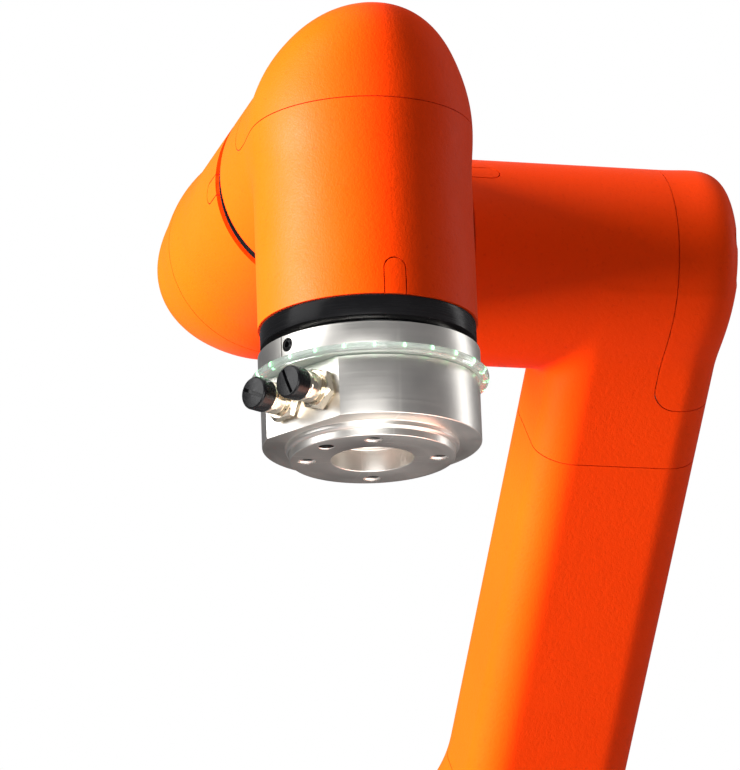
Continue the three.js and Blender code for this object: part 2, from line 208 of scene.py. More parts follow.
def metal_mat(name, base, rough, seed=0.0, turned=None, sat=0.0, axis_pt=None):
    """Machined metal. turned: lathe lines round the tool axis (uses object height and radius)."""
    m, nt, b, tc = new_mat(name)
    v = tc.outputs["Object"]
    b.inputs["Metallic"].default_value = 1.0
    cloud = noise(nt, v, 35, 4, 0.6)
    dark = tuple(c * 0.86 for c in base) + (1,)
    col = mix_rgb(nt, mapr(nt, cloud, 0.0, 1.0, 0.3, 0.7), dark, tuple(base) + (1,))
    scr = nt.nodes.new("ShaderNodeMapping")
    scr.inputs["Scale"].default_value = (40, 40, 900)
    nt.links.new(v, scr.inputs["Vector"])
    fine = noise(nt, v, 900, 3, 0.6)
    if turned is not None:
        sub = nt.nodes.new("ShaderNodeVectorMath")
        sub.operation = "SUBTRACT"
        sub.inputs[1].default_value = tuple(c * MM for c in turned)
        nt.links.new(v, sub.inputs[0])
        sep = nt.nodes.new("ShaderNodeSeparateXYZ")
        nt.links.new(sub.outputs[0], sep.inputs[0])
        rr = math_node(nt, "SQRT", math_node(nt, "ADD", math_node(nt, "MULTIPLY", sep.outputs[0], sep.outputs[0]),
                                             math_node(nt, "MULTIPLY", sep.outputs[1], sep.outputs[1])))
        ang = math_node(nt, "ARCTAN2", sep.outputs[1], sep.outputs[0])
        cmb = nt.nodes.new("ShaderNodeCombineXYZ")
        nt.links.new(math_node(nt, "MULTIPLY", rr, 2600.0), cmb.inputs[0])
        nt.links.new(math_node(nt, "MULTIPLY", sep.outputs[2], 2600.0), cmb.inputs[1])
        nt.links.new(math_node(nt, "MULTIPLY", math_node(nt, "SINE", ang), 0.7), cmb.inputs[2])
        lines = noise(nt, cmb.outputs[0], 1.0, 3, 0.6)
        cm2 = nt.nodes.new("ShaderNodeCombineXYZ")
        nt.links.new(math_node(nt, "MULTIPLY", rr, 380.0), cm2.inputs[0])
        nt.links.new(math_node(nt, "MULTIPLY", sep.outputs[2], 380.0), cm2.inputs[1])
        nt.links.new(math_node(nt, "COSINE", ang), cm2.inputs[2])
        wide = noise(nt, cm2.outputs[0], 1.0, 2, 0.5)
    else:
        lines = noise(nt, scr.outputs[0], 1.0, 3, 0.6)
        wide = cloud
    col = mix_rgb(nt, mapr(nt, wide, 0.0, 0.30, 0.35, 0.75), col, tuple(c * 0.86 for c in base) + (1,))
    wear = math_node(nt, "MULTIPLY", edge_mask(nt, 0.52, 0.60), 0.5)
    col = mix_rgb(nt, wear, col, tuple(min(1.0, c * 1.15) for c in base) + (1,))
    nt.links.new(col, b.inputs["Base Color"])
    r = math_node(nt, "ADD", mapr(nt, lines, rough - 0.03, rough + 0.04, 0.3, 0.7), mapr(nt, cloud, -0.03, 0.04, 0.3, 0.7))
    nt.links.new(r, b.inputs["Roughness"])
    n1 = bump(nt, b, lines, 0.07, 0.00005)
    bump(nt, b, fine, 0.04, 0.00004, n1)
    return m


def plastic_mat(name, base, rough, scale=700, strength=0.12, streak=False, spec=0.5):
    m, nt, b, tc = new_mat(name)
    b.inputs["Specular IOR Level"].default_value = spec
    v = tc.outputs["Object"]
    if streak:
        mp = nt.nodes.new("ShaderNodeMapping")
        mp.inputs["Scale"].default_value = (60, 60, 1500)
        nt.links.new(v, mp.inputs["Vector"])
        fine = noise(nt, mp.outputs[0], 1.0, 3, 0.6)
    else:
        fine = noise(nt, v, scale, 3, 0.6)
    cloud = noise(nt, v, 45, 4, 0.6)
    dust = noise(nt, v, 420, 5, 0.75)
    col = mix_rgb(nt, mapr(nt, cloud, 0.0, 1.0, 0.3, 0.7), tuple(c * 0.7 for c in base) + (1,), tuple(base) + (1,))
    col = mix_rgb(nt, mapr(nt, dust, 0.0, 0.35, 0.66, 0.80), col, tuple(min(1.0, c * 3 + 0.03) for c in base) + (1,))
    col = mix_rgb(nt, math_node(nt, "MULTIPLY", edge_mask(nt, 0.53, 0.62), 0.3), col, tuple(min(1.0, c * 2.5 + 0.03) for c in base) + (1,))
    nt.links.new(col, b.inputs["Base Color"])
    r = math_node(nt, "ADD", mapr(nt, fine, rough - 0.06, rough + 0.06, 0.3, 0.7), mapr(nt, cloud, -0.05, 0.07, 0.3, 0.7))
    nt.links.new(r, b.inputs["Roughness"])
    bump(nt, b, fine, strength, 0.00015)
    return m


def clear_mat(name):
    m, nt, b, tc = new_mat(name)
    v = tc.outputs["Object"]
    cloud = noise(nt, v, 160, 4, 0.6)
    nt.links.new(ramp(nt, cloud, [(0.3, (0.90, 0.97, 0.91, 1)), (0.7, (0.98, 1.0, 0.98, 1))]), b.inputs["Base Color"])
    nt.links.new(mapr(nt, cloud, 0.04, 0.16, 0.35, 0.7), b.inputs["Roughness"])
    b.inputs["Transmission Weight"].default_value = 0.86
    # faint whitish emission: a painted glow that brightens the clear ring, which is no lamp
    b.inputs["Emission Color"].default_value = (0.86, 1.0, 0.88, 1)
    b.inputs["Emission Strength"].default_value = 0.03
    b.inputs["IOR"].default_value = 1.46
    bump(nt, b, noise(nt, v, 240, 2, 0.5), 0.10, 0.0004)
    return m


def led_mat(name):
    m, nt, b, tc = new_mat(name)
    v = tc.outputs["Object"]
    g = noise(nt, v, 500, 2, 0.5)
    nt.links.new(ramp(nt, g, [(0.3, (0.25, 0.8, 0.40, 1)), (0.7, (0.5, 0.95, 0.6, 1))]), b.inputs["Base Color"])
    nt.links.new(ramp(nt, g, [(0.3, (0.20, 1.0, 0.38, 1)), (0.7, (0.45, 1.0, 0.55, 1))]), b.inputs["Emission Color"])
    b.inputs["Emission Strength"].default_value = 3.2
    nt.links.new(mapr(nt, g, 0.15, 0.3), b.inputs["Roughness"])
    bump(nt, b, g, 0.05, 0.0001)
    return m


PAINT = paint_mat("orange_texture_paint")
ALU = metal_mat("turned_aluminium", (0.80, 0.775, 0.725), 0.34, turned=(O.x, O.y, O.z))
ALU_B = metal_mat("base_aluminium", (0.70, 0.71, 0.72), 0.36)
STEEL = metal_mat("ground_steel", (0.50, 0.51, 0.53), 0.35)
# near-black metal for the thread bores: painted shade inside the holes
HOLE_SHADE = metal_mat("hole_shade_metal", (0.10, 0.10, 0.10), 0.5)
NICKEL = metal_mat("nickel_plate", (0.86, 0.77, 0.62), 0.16)
COPPER = metal_mat("varnished_winding", (0.72, 0.33, 0.13), 0.38)
BLACK_SEAL = plastic_mat("black_seal_ring", (0.010, 0.010, 0.011), 0.24, streak=True, strength=0.12, spec=0.09)
BLACK = plastic_mat("black_plastic", (0.005, 0.005, 0.006), 0.28, scale=900, spec=0.3)
BOARD = plastic_mat("green_board", (0.03, 0.17, 0.07), 0.45)
CLEAR = clear_mat("clear_light_ring")
LED = led_mat("green_led")
WHITE_PL = plastic_mat("led_carrier", (0.55, 0.57, 0.56), 0.45)


# ------------------------------------------------------------------ mesh helpers (millimetres in, metres out)
def obj_from(name, verts, faces, mat, smooth=True):
    me = bpy.data.meshes.new(name)
    me.from_pydata([tuple(v) for v in verts], [], faces)
    me.materials.append(mat)
    o = bpy.data.objects.new(name, me)
    bpy.context.scene.collection.objects.link(o)
    if smooth:
        me.shade_smooth()
    return o


def fix_normals(o):
    bm = bmesh.new()
    bm.from_mesh(o.data)
    bmesh.ops.remove_doubles(bm, verts=bm.verts, dist=1e-5)
    bmesh.ops.recalc_face_normals(bm, faces=bm.faces)
    bm.to_mesh(o.data)
    bm.free()


def lathe(name, prof, mat, M, seg=160, closed=True, smooth_angle=32):
    """Revolve (r, h) pairs about local +Z. The profile closes on itself or ends on the axis."""
    verts, faces, rings = [], [], []
    for r, h in prof:
        if abs(r) < 1e-6:
            rings.append([len(verts)] * seg)
            verts.append(Vector((0, 0, h)))
        else:
            rings.append(list(range(len(verts), len(verts) + seg)))
            verts += [Vector((r * math.cos(2 * math.pi * i / seg), r * math.sin(2 * math.pi * i / seg), h)) for i in range(seg)]
    n = len(prof)
    loop = n if (closed and not (abs(prof[0][0]) < 1e-6 and abs(prof[-1][0]) < 1e-6)) else n - 1
    for k in range(loop):
        A, B = rings[k], rings[(k + 1) % n]
        for i in range(seg):
            j = (i + 1) % seg
            f = []
            for q in (A[i], A[j], B[j], B[i]):
                if q not in f:
                    f.append(q)
            if len(f) > 2:
                faces.append(f)
    o = obj_from(name, verts, faces, mat)
    o.data.transform(M)
    fix_normals(o)
    return o


def rounded(prof, closed=True, r=0.5, n=3):
    """Round every corner of a lathe profile that isn't on the axis."""
    out, m = [], len(prof)
    for i, p in enumerate(prof):
        axis = abs(p[0]) < 1e-6
        if axis or (not closed and i in (0, m - 1)):
            out.append(p)
            continue
        a, b = Vector(prof[i - 1]), Vector(prof[(i + 1) % m])
        q = Vector(p)
        da, db = (a - q), (b - q)
        la, lb = da.length, db.length
        if la < 1e-6 or lb < 1e-6:
            out.append(p)
            continue
        da /= la
        db /= lb
        if da.dot(db) < -0.985:
            out.append(p)
            continue
        d = min(r, la * 0.4, lb * 0.4)
        A, B = q + da * d, q + db * d
        for k in range(n + 1):
            t = k / n
            out.append(tuple((1 - t) ** 2 * A + 2 * t * (1 - t) * q + t * t * B))
    return out


def box_obj(name, lo, hi, M=None):
    x0, y0, z0 = lo
    x1, y1, z1 = hi
    v = [(x0, y0, z0), (x1, y0, z0), (x1, y1, z0), (x0, y1, z0), (x0, y0, z1), (x1, y0, z1), (x1, y1, z1), (x0, y1, z1)]
    f = [(3, 2, 1, 0), (4, 5, 6, 7), (0, 1, 5, 4), (1, 2, 6, 5), (2, 3, 7, 6), (3, 0, 4, 7)]
    o = obj_from(name, v, f, PAINT, smooth=False)
    if M is not None:
        o.data.transform(M)
    return o


def prism(name, pts, M, y0=-300, y1=300):
    """Extrude a polygon given in the local (x, z) plane along local y."""
    n = len(pts)
    v = [(x, y0, z) for x, z in pts] + [(x, y1, z) for x, z in pts]
    f = [list(range(n)), list(range(2 * n - 1, n - 1, -1))]
    for i in range(n):
        j = (i + 1) % n
        f.append([i, i + n, j + n, j])
    o = obj_from(name, v, f, PAINT, smooth=False)
    o.data.transform(M)
    fix_normals(o)
    return o


def boolean(o, cutter, op="DIFFERENCE", keep=False):
    md = o.modifiers.new("b", "BOOLEAN")
    md.operation = op
    md.object = cutter
    try:
        md.solver = "MANIFOLD"
    except TypeError:
        md.solver = "EXACT"
    dg = bpy.context.evaluated_depsgraph_get()
    me = bpy.data.meshes.new_from_object(o.evaluated_get(dg))
    if len(me.polygons) == 0 and op != "INTERSECT" or len(me.polygons) == 0:
        md.solver = "EXACT"
        dg = bpy.context.evaluated_depsgraph_get()
        me = bpy.data.meshes.new_from_object(o.evaluated_get(dg))
    o.modifiers.clear()
    old = o.data
    o.data = me
    bpy.data.meshes.remove(old)
    if not keep:
        bpy.data.objects.remove(cutter)
    return o


def copy_obj(o, name):
    c = bpy.data.objects.new(name, o.data.copy())
    bpy.context.scene.collection.objects.link(c)
    return c


def sharpen(o, angle=30):
    me = o.data
    me.shade_smooth()
    bm = bmesh.new()
    bm.from_mesh(me)
    bmesh.ops.remove_doubles(bm, verts=bm.verts, dist=2e-6)
    a = math.radians(angle)
    for e in bm.edges:
        if len(e.link_faces) == 2:
            e.smooth = e.calc_face_angle(0) < a
    bm.to_mesh(me)
    bm.free()


def scale_mm(o):
    o.data.transform(Matrix.Scale(MM, 4))
    o.data.update()
    return o


def finish_piece(o, body, slot, *nodes, mat=None, angle=30, bevel=0.0):
    if mat is not None:
        o.data.materials.clear()
        o.data.materials.append(mat)
        for p in o.data.polygons:
            p.material_index = 0
    scale_mm(o)
    sharpen(o, angle)
    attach(o, body)
    if nodes:
        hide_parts(*nodes)
    return o


# ------------------------------------------------------------------ casings as smooth implicit surfaces
def smin(a, b, k):
    h = np.clip(0.5 + 0.5 * (b - a) / k, 0, 1)
    return b * (1 - h) + a * h - k * h * (1 - h)


def sstep(a, b, x):
    t = np.clip((x - a) / (b - a), 0, 1)
    return t * t * (3 - 2 * t)


def unit_field(r, seam, top, n, side, k, lean=0.0):
    def f(p):
        x, y, z = p[:, 0], p[:, 1], p[:, 2]
        back = np.clip((-seam - z) / (top - seam), 0, None)
        rho = np.sqrt((x + lean * (top - seam) * np.minimum(back, 1.3) ** 2.2) ** 2 + y * y)
        g = ((rho / r) ** n + back ** n) ** (1.0 / n)
        body = (g - 1) * r * np.where(back > 0, np.clip((top - seam) / r + 0.2, 0.6, 1.0), 1.0)
        return smin(body, side(x, y, z), k)
    return f


def port_field(r):
    def s(x, y, z):
        return np.sqrt(y * y + z * z + np.minimum(x, 0) ** 2) - r
    return s


def dee_field(w, front, back, rf, rb, y, z, side=1.0):
    """D-shaped section in the (z, y) plane: w wide along z, the flat front towards side * y."""
    y = y * side
    m = (front - back) / 2.0
    hh = (front + back) / 2.0
    rr = rb + (rf - rb) * sstep(-6.0, 6.0, y - m)
    qx = np.abs(z) - (w / 2 - rr)
    qy = np.abs(y - m) - (hh - rr)
    return np.sqrt(np.maximum(qx, 0) ** 2 + np.maximum(qy, 0) ** 2) + np.minimum(np.maximum(qx, qy), 0) - rr


def stub_field(sec, side, flare=None, cz=0.0, tuck=0.0):
    """Arm stub along +x. flare(x) gives the extra reach towards +z, -z, front and back; tuck draws its end in under the cap."""
    def s(x, y, z):
        z = z - cz
        w, fr, bk, rf, rb = sec
        if flare:
            up, dn, df, db = flare(x)
            v = dee_field(w + up + dn, fr + df, bk + db, rf, rb, y, z - (up - dn) / 2.0, side)
        else:
            v = dee_field(w, fr, bk, rf, rb, y, z, side)
        return np.maximum(v + tuck * np.clip(30.0 - x, 0, None), -x - 10)
    return s


def mesh_field(name, f, lo, hi, h):
    """Surface nets on a grid: one vertex per crossed cell, then pulled on to the surface."""
    ax = [np.arange(lo[i], hi[i] + h, h) for i in range(3)]
    n = [len(a) for a in ax]
    X, Y, Z = np.meshgrid(*ax, indexing="ij")
    P = np.stack([X.ravel(), Y.ravel(), Z.ravel()], 1)
    F = f(P).reshape(n)
    ins = F < 0
    c = np.zeros([m - 1 for m in n], np.int16)
    for i in (0, 1):
        for j in (0, 1):
            for k in (0, 1):
                c += ins[i:n[0] - 1 + i, j:n[1] - 1 + j, k:n[2] - 1 + k]
    act = (c > 0) & (c < 8)
    idx = -np.ones(act.shape, np.int64)
    cells = np.argwhere(act)
    idx[act] = np.arange(len(cells))
    # start each vertex at the mean of the crossed edge points
    acc = np.zeros((len(cells), 3))
    cnt = np.zeros(len(cells))
    ci = cells
    for axis in range(3):
        o1, o2 = [q for q in range(3) if q != axis]
        for a in (0, 1):
            for b in (0, 1):
                s = [0, 0, 0]
                s[o1], s[o2] = a, b
                e = list(s)
                e[axis] = 1
                fa = F[ci[:, 0] + s[0], ci[:, 1] + s[1], ci[:, 2] + s[2]]
                fb = F[ci[:, 0] + e[0], ci[:, 1] + e[1], ci[:, 2] + e[2]]
                hit = (fa < 0) != (fb < 0)
                t = np.where(hit, fa / np.where(hit, fa - fb, 1), 0)
                q = ci.astype(float) + np.array(s, float)
                q[:, axis] += t
                acc[hit] += q[hit]
                cnt[hit] += 1
    V = acc / cnt[:, None] * h + np.array([ax[0][0], ax[1][0], ax[2][0]])
    faces = []
    for axis in range(3):
        o1, o2 = (axis + 1) % 3, (axis + 2) % 3
        sl0 = [slice(None)] * 3
        sl1 = [slice(None)] * 3
        sl0[axis] = slice(0, -1)
        sl1[axis] = slice(1, None)
        cross = ins[tuple(sl0)] != ins[tuple(sl1)]
        e = np.argwhere(cross)
        ok = (e[:, o1] > 0) & (e[:, o2] > 0) & (e[:, o1] < n[o1] - 1) & (e[:, o2] < n[o2] - 1)
        e = e[ok]
        flip = ins[tuple(e.T)]
        q = []
        for a, b in ((-1, -1), (0, -1), (0, 0), (-1, 0)):
            g = e.copy()
            g[:, o1] += a
            g[:, o2] += b
            q.append(idx[tuple(g.T)])
        q = np.stack(q, 1)
        q[~flip] = q[~flip][:, ::-1]
        faces.append(q)
    faces = np.concatenate(faces)
    # relax and project
    e0 = np.concatenate([faces[:, [0, 1]], faces[:, [1, 2]], faces[:, [2, 3]], faces[:, [3, 0]]])

    def grad(p):
        g = np.zeros_like(p)
        for i in range(3):
            d = np.zeros(3)
            d[i] = 0.02
            g[:, i] = (f(p + d) - f(p - d)) / 0.04
        return g

    def project(p, it):
        for _ in range(it):
            g = grad(p)
            p = p - (f(p) / np.maximum((g * g).sum(1), 0.05))[:, None] * g
        return p

    V = project(V, 2)
    deg = np.bincount(e0[:, 0], minlength=len(V)) + np.bincount(e0[:, 1], minlength=len(V))
    for _ in range(3):
        s = np.zeros_like(V)
        for i in range(3):
            s[:, i] = np.bincount(e0[:, 0], V[e0[:, 1], i], len(V)) + np.bincount(e0[:, 1], V[e0[:, 0], i], len(V))
        V = project(V * 0.4 + 0.6 * s / deg[:, None], 2)
    V = project(V, 2)
    me = bpy.data.meshes.new(name)
    me.vertices.add(len(V))
    me.vertices.foreach_set("co", V.astype(np.float32).ravel())
    me.loops.add(len(faces) * 4)
    me.loops.foreach_set("vertex_index", faces.astype(np.int32).ravel())
    me.polygons.add(len(faces))
    me.polygons.foreach_set("loop_start", np.arange(0, len(faces) * 4, 4, dtype=np.int32))
    me.update(calc_edges=True)
    me.materials.append(PAINT)
    o = bpy.data.objects.new(name, me)
    bpy.context.scene.collection.objects.link(o)
    return o


def zone_poly(edge, seam_z, rad, far=-260.0, back=-260.0, n=14, g=0.0):
    """The cap's side of the seam in the (x, z) plane: x < edge + g and z < seam_z + g, one rounded corner."""
    ex, sz, r = edge + g, seam_z + g, rad + g
    pts = [(far, back), (ex, back), (ex, sz - r)]
    for i in range(1, n):
        a = math.pi / 2 * i / n
        pts.append((ex - r + r * math.cos(a), sz - r + r * math.sin(a)))
    pts += [(ex - r, sz), (far, sz)]
    return pts


H = 1.8
GAP = 0.42


def u_prism(name, M, out, grow, x_in, x_out, run=6.0):
    """U-shaped plug outline on the -x side of the casing, open at the output end."""
    pts = []
    hw = 4.0 + grow
    z0 = out - 10.0
    pts.append((hw, out + run))
    for i in range(13):
        a = math.pi * i / 12
        pts.append((hw * math.cos(a), z0 - hw * math.sin(a)))
    pts.append((-hw, out + run))
    n = len(pts)
    v = [(-x_out, y, z) for y, z in pts] + [(-x_in, y, z) for y, z in pts]
    f = [list(range(n)), list(range(2 * n - 1, n - 1, -1))]
    for i in range(n):
        j = (i + 1) % n
        f.append([i, i + n, j + n, j])
    o = obj_from(name, v, f, PAINT, smooth=False)
    o.data.transform(M)
    fix_normals(o)
    return o


def make_unit(key, M, body, house_nodes, cap_nodes, r, out, seam, top, n, tongue, field, length, k, end_poly=None,
              plug_node=None, half=60.0, rad=10.0, h=None, lean=0.0, bridge=0.0):
    f0 = unit_field(r, seam, top, n, field, k, lean)
    # lip behind the seams: the same form 4.5 mm further in, so that no seam can be seen through; it is black, as
    # painted shade inside the seam gaps
    lip = mesh_field(key + "_seam_shade_lip_look", lambda p: np.maximum(f0(p) + 4.5, np.maximum(p[:, 0] - (length - 1.5 + bridge), p[:, 2] - (out - 1.5))),
                     (-r - 4, -max(r, half) - 6, -max(r, top) - 6), (length + 12, max(r, half) + 6, out + 6), 4.2)
    lip.data.transform(M)
    finish_piece(lip, body, "black_plastic", mat=BLACK)

    def f(p):
        return np.maximum(f0(p), np.maximum(p[:, 0] - (length + 4), p[:, 2] - (out + 4)))
    base = mesh_field(key + "_raw", f, (-r - 8, -max(r, half) - 10, -max(r, top) - 10), (length + 9, max(r, half) + 10, out + 9), h or H)
    base.data.transform(M)
    # trim the joint end and the port end
    boolean(base, box_obj("cut", (-400, -400, out), (600, 400, out + 400), M))
    if end_poly is None:
        boolean(base, box_obj("cut", (length, -400, -400), (length + 400, 400, 400), M))
    else:
        boolean(base, prism("cut", end_poly, M))
    cap = copy_obj(base, key + "_cap_look")
    boolean(cap, prism("cut", zone_poly(tongue, -seam, rad), M), "INTERSECT")
    boolean(base, prism("cut", zone_poly(tongue, -seam, rad, g=GAP), M))
    base.name = key + "_casing_look"
    if plug_node:
        plug = copy_obj(base, key + "_slot_plug_look")
        boolean(plug, u_prism("cut", M, out, 0.0, r - 1.8, r + 6, run=0.0), "INTERSECT")
        boolean(base, u_prism("cut", M, out, 0.5, r - 2.2, r + 6))
        finish_piece(plug, body, "orange_paint", plug_node, mat=PAINT, angle=35)
    return base, cap


def cap_pocket(cap, name, body, at_pt, normal, r=4.1, deep=2.6):
    """Round screw pocket with a softened rim, and the socket head screw in it. Points are in the row frame."""
    Mp = place(at_pt, normal, (0.31, 0.22, 0.9))
    boolean(cap, lathe("c", [(0, -deep), (r, -deep), (r, -0.9), (r + 0.35, -0.3), (r + 1.3, 0.35), (r + 1.3, 6), (0, 6)], PAINT, Mp, seg=72))
    o = lathe(name, rounded([(0, -deep + 0.05), (3.3, -deep + 0.05), (3.3, -0.9), (1.6, -0.9), (1.6, -2.1), (0, -2.1)], closed=False, r=0.35), BLACK, Mp, seg=6 * 8)
    finish_piece(o, body, "black_plastic", mat=BLACK)


pieces = {}

# wrist 2
M_W2 = place(O, (0, 0, -1), (0, 1, 0))
house, cap = make_unit("wrist_2", M_W2, "wrist_2", None, None, R_S, OUT_W2, 0.0, 44.0, 2.2, 33.0, port_field(R_S), PORT_W2, 4.5,
                       plug_node="wrist_2_slot_plug", half=R_S, lean=0.45)
cap_pocket(cap, "wrist_2_cap_screw_look", "wrist_2", O + Vector((-20.5, -18.0, 39.3)), (-0.479, -0.05, 0.874))
finish_piece(house, "wrist_2", "orange_paint", "wrist_2_housing", mat=PAINT)
finish_piece(cap, "wrist_2", "orange_paint", "wrist_2_cap", mat=PAINT)

# wrist 1
M_W1 = place(W, (0, -1, 0), (1, 0, 0))
house, cap = make_unit("wrist_1", M_W1, "wrist_1", None, None, R_S, OUT_W1, 0.0, 44.0, 2.2, 33.0, port_field(R_S), PORT_W1, 4.5,
                       plug_node="wrist_1_slot_plug", half=R_S, lean=0.45)
finish_piece(house, "wrist_1", "orange_paint", "wrist_1_housing", mat=PAINT)
finish_piece(cap, "wrist_1", "orange_paint", "wrist_1_cap", mat=PAINT)

# forearm, wrist end: casting edge at 71 mm
SEC = (69.6, 38.1, 31.2, 15.4, 30.8)
SEC_Z = 2.6
M_T = place(T, (-1, 0, 0), FD)
EDGE = 71.0
house, cap = make_unit("forearm_upper", M_T, "forearm", None, None, R_S, OUT_T, 5.0, 34.2, 4.5, 43.5,
                       stub_field(SEC, 1.0, cz=SEC_Z), EDGE, 4.5, plug_node="forearm_slot_plug", half=R_S, lean=0.15, bridge=8.0)
cap_pocket(cap, "forearm_cap_screw_look", "forearm", O + Vector((186.6, 107.4, 4.3)), (0.94, -0.339, 0.018))
finish_piece(house, "forearm", "orange_paint", "forearm_upper_housing", mat=PAINT)
finish_piece(cap, "forearm", "orange_paint", "forearm_upper_cap", mat=PAINT)


# forearm, elbow end; x is the distance from the elbow axis
def flare_low(x):
    t = np.clip(141.0 - x, 0, None)
    up = 17.5 * (1 - np.exp(-0.005 * t * t * (1 + (t / 60.0) ** 2) / 17.5))
    q = 1 - sstep(62, 138, x)
    return up, 5.0 * q, 8.0 * q, 10.0 * q


M_FL = place(EF, (-1, 0, 0), -FD)
low_end = FOREARM - 243.0
house, cap = make_unit("forearm_lower", M_FL, "forearm", None, None, R_L, PORT_L, 5.0, 47.0, 3.6, 57.0,
                       stub_field(SEC, -1.0, flare_low, SEC_Z), low_end, 14.0, half=R_L, h=H * 1.15, bridge=8.0)
finish_piece(house, "forearm", "orange_paint", "forearm_lower_housing", mat=PAINT)
finish_piece(cap, "forearm", "orange_paint", "forearm_lower_cap", mat=PAINT)

# forearm tube between them
TUBE = place(T, (-1, 0, 0), FD)
tube_stub = stub_field(SEC, 1.0, lambda x: flare_low(FOREARM - x), SEC_Z)
tube = mesh_field("forearm_tube_look", lambda p: np.maximum(tube_stub(p[:, 0], p[:, 1], p[:, 2]), np.abs(p[:, 0] - 158) - 94), (55, -60, -62), (260, 60, 62), H)
tube.data.transform(TUBE)
boolean(tube, box_obj("cut", (EDGE + 0.45, -400, -400), (FOREARM - low_end - 0.45, 400, 400), TUBE), "INTERSECT")
finish_piece(tube, "forearm", "orange_paint", "forearm_tube", mat=PAINT)

# upper arm
USEC = (93.0, 47.0, 42.0, 22.0, 44.0)


def flare_up(x):
    q = 1 - sstep(62, 150, np.minimum(x, UPPER - x))
    return 1.0 * q, 0.4 * q, 5.0 * q, 8.0 * q


M_UL, M_UU = place(S, (1, 0, 0), UPV), place(E, (1, 0, 0), -UPV)
for key, M, out, side in (("upper_arm_lower", M_UL, PORT_L, -1.0), ("upper_arm_upper", M_UU, OUT_U, 1.0)):
    house, cap = make_unit(key, M, "upper_arm", None, None, R_L, out, 5.0, 47.0, 3.6, 57.0,
                           stub_field(USEC, -side, flare_up, tuck=0.55), 121.0, 14.0, half=R_L, h=H * 1.3, bridge=8.0)
    finish_piece(house, "upper_arm", "orange_paint", key + "_housing", mat=PAINT)
    finish_piece(cap, "upper_arm", "orange_paint", key + "_cap", mat=PAINT)
M_UT = place(S, (1, 0, 0), UPV)
ustub = stub_field(USEC, 1.0, flare_up)
tube = mesh_field("upper_arm_tube_look", lambda p: np.maximum(ustub(p[:, 0], p[:, 1], p[:, 2]), np.abs(p[:, 0] - UPPER / 2) - (UPPER / 2 - 114)),
                  (110, -60, -60), (UPPER - 110, 60, 60), H * 1.3)
tube.data.transform(M_UT)
boolean(tube, box_obj("cut", (121.45, -400, -400), (UPPER - 121.45, 400, 400), M_UT), "INTERSECT")
finish_piece(tube, "upper_arm", "orange_paint", "upper_arm_tube", mat=PAINT)

# shoulder
M_SH = place((0, 0, D1), (-1, 0, 0), (0, 0, -1))
house, cap = make_unit("shoulder", M_SH, "shoulder", None, None, R_L, OUT_S, 0.0, 47.0, 3.6, 44.0, port_field(R_L), D1 - 78 - RING, 9.0,
                       half=R_L, h=H * 1.3)
finish_piece(house, "shoulder", "orange_paint", "shoulder_housing", mat=PAINT)
finish_piece(cap, "shoulder", "orange_paint", "shoulder_cap", mat=PAINT)

# ------------------------------------------------------------------ base
I4 = Matrix.Identity(4)
base = lathe("base_casing_look", rounded([(0, 0.02), (86, 0.02), (86, 9.5), (84.5, 10), (67, 10.6), (63.5, 13), (61.5, 20), (59.5, 40), (58, 56), (56, 64), (55, 70), (55, 78), (0, 78)],
                                         r=1.2), PAINT, I4, seg=160)
bx = box_obj("b", (-31, 40, 11), (31, 68, 55))
md = bx.modifiers.new("bv", "BEVEL")
md.width = 5
md.segments = 5
md.limit_method = "ANGLE"
dg = bpy.context.evaluated_depsgraph_get()
bx.data = bpy.data.meshes.new_from_object(bx.evaluated_get(dg))
bx.modifiers.clear()
boolean(base, bx, "UNION")
boolean(base, box_obj("c", (-26, 65.2, 17), (26, 80, 51)))
boolean(base, box_obj("c", (-23.5, 55, 22), (23.5, 80, 47)))
for d in (45, 135, 225, 315):
    a = math.radians(d)
    Mh = Matrix.Translation((75 * math.cos(a), 75 * math.sin(a), 0))
    boolean(base, lathe("c", [(0, -2), (4.5, -2), (4.5, 8.6), (5.4, 9.8), (5.4, 14), (0, 14)], PAINT, Mh, seg=40))
# hollow underneath for the bottom cover
boolean(base, lathe("c", [(0, -2), (50.2, -2), (50.2, 3.4), (0, 3.4)], PAINT, I4, seg=120))
finish_piece(base, "base", "orange_paint", "base_housing", mat=PAINT, angle=28)
cover = lathe("base_bottom_cover_look", rounded([(0, 0.0), (49.8, 0.0), (49.8, 3), (0, 3)], closed=False, r=0.5), ALU_B, I4, seg=120)
finish_piece(cover, "base", "machined_aluminium", "base_bottom_cover", mat=ALU_B)
panel = box_obj("base_connector_panel_look", (-25.6, 65.5, 17.4), (25.6, 67.7, 50.6))
for x, r in ((-13, 9.2), (13, 6.2)):
    boolean(panel, lathe("c", [(0, -9), (r, -9), (r, 9), (0, 9)], BLACK, place((x, 66.6, 34), (0, 1, 0), (1, 0, 0)), seg=64))
for x in (-22.6, 22.6):
    for z in (20.4, 47.6):
        boolean(panel, lathe("c", [(0, -0.2), (1.4, -0.2), (1.4, 3), (0, 3)], BLACK, place((x, 66.6, z), (0, 1, 0), (1, 0, 0)), seg=24))
finish_piece(panel, "base", "black_plastic", "base_connector_panel", mat=BLACK)
